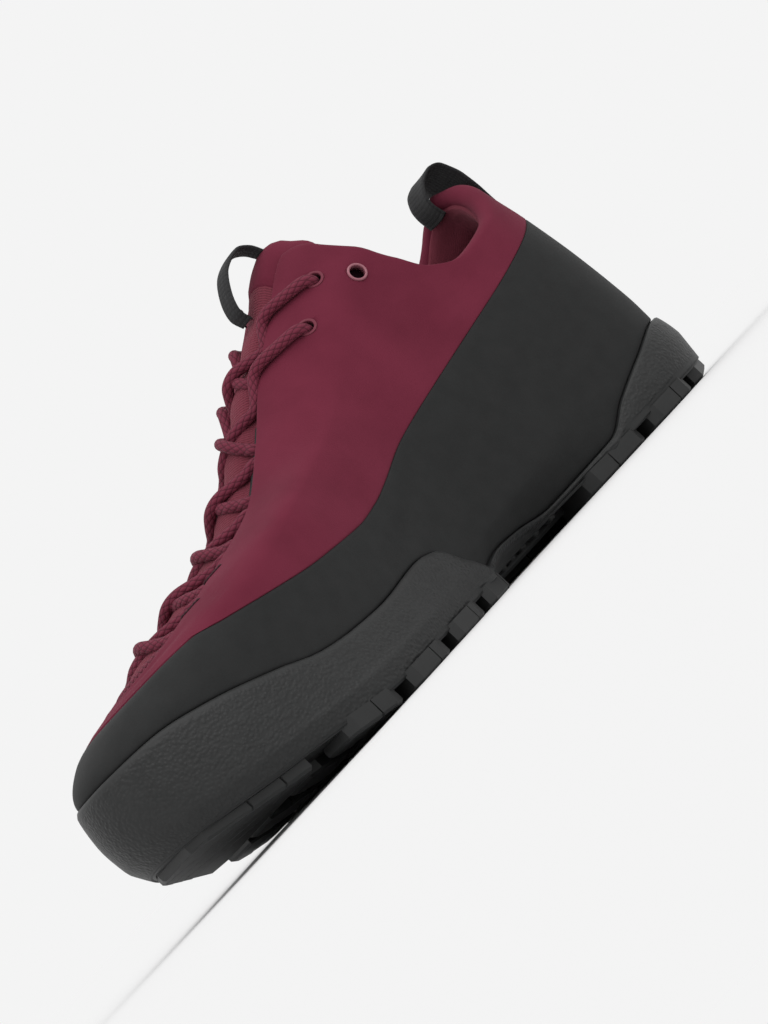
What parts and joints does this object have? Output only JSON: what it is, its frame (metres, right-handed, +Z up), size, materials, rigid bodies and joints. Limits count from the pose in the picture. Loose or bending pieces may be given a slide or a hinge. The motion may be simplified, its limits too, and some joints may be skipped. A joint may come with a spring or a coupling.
{
  "type": "approach shoe",
  "caption": "Low lace-up approach shoe for the right foot, with a nubuck upper, deep rand, rubber toe guard and lugged sole.",
  "frame": {"origin": "on the ground under the middle of the sole's bounding box", "axes": "+X towards the toe, +Y towards the inner side of the foot, +Z up"},
  "size_m": [0.2872, 0.1076, 0.1371],
  "materials": {
    "burgundy nubuck": "napped, matt",
    "charcoal rand": "coated, matt",
    "black rubber": "fine textured, dull",
    "insole foam": "matt",
    "burgundy textile": "matt knit",
    "burgundy cord": "woven, matt",
    "black webbing": "woven, matt",
    "painted metal": "satin",
    "amber inlay": "satin"
  },
  "bodies": {
    "root": {"arch_inlay": "amber inlay", "collar_padding": "burgundy textile", "eyelet_low_inner": "painted metal", "eyelet_low_outer": "painted metal", "eyelet_middle_inner": "painted metal", "eyelet_middle_outer": "painted metal", "eyelet_top_inner": "painted metal", "eyelet_top_outer": "painted metal", "heel_loop": "black webbing", "insole": "insole foam", "lace_crossing_1": "burgundy cord", "lace_crossing_2": "burgundy cord", "lace_crossing_3": "burgundy cord", "lace_crossing_4": "burgundy cord", "lace_crossing_5": "burgundy cord", "lace_crossing_6": "burgundy cord", "lace_keeper_inner": "black webbing", "lace_keeper_outer": "black webbing", "outsole": "black rubber", "rand": "charcoal rand", "tongue": "burgundy textile", "tongue_loop": "black webbing", "upper": "burgundy nubuck"}
  },
  "joints": []
}
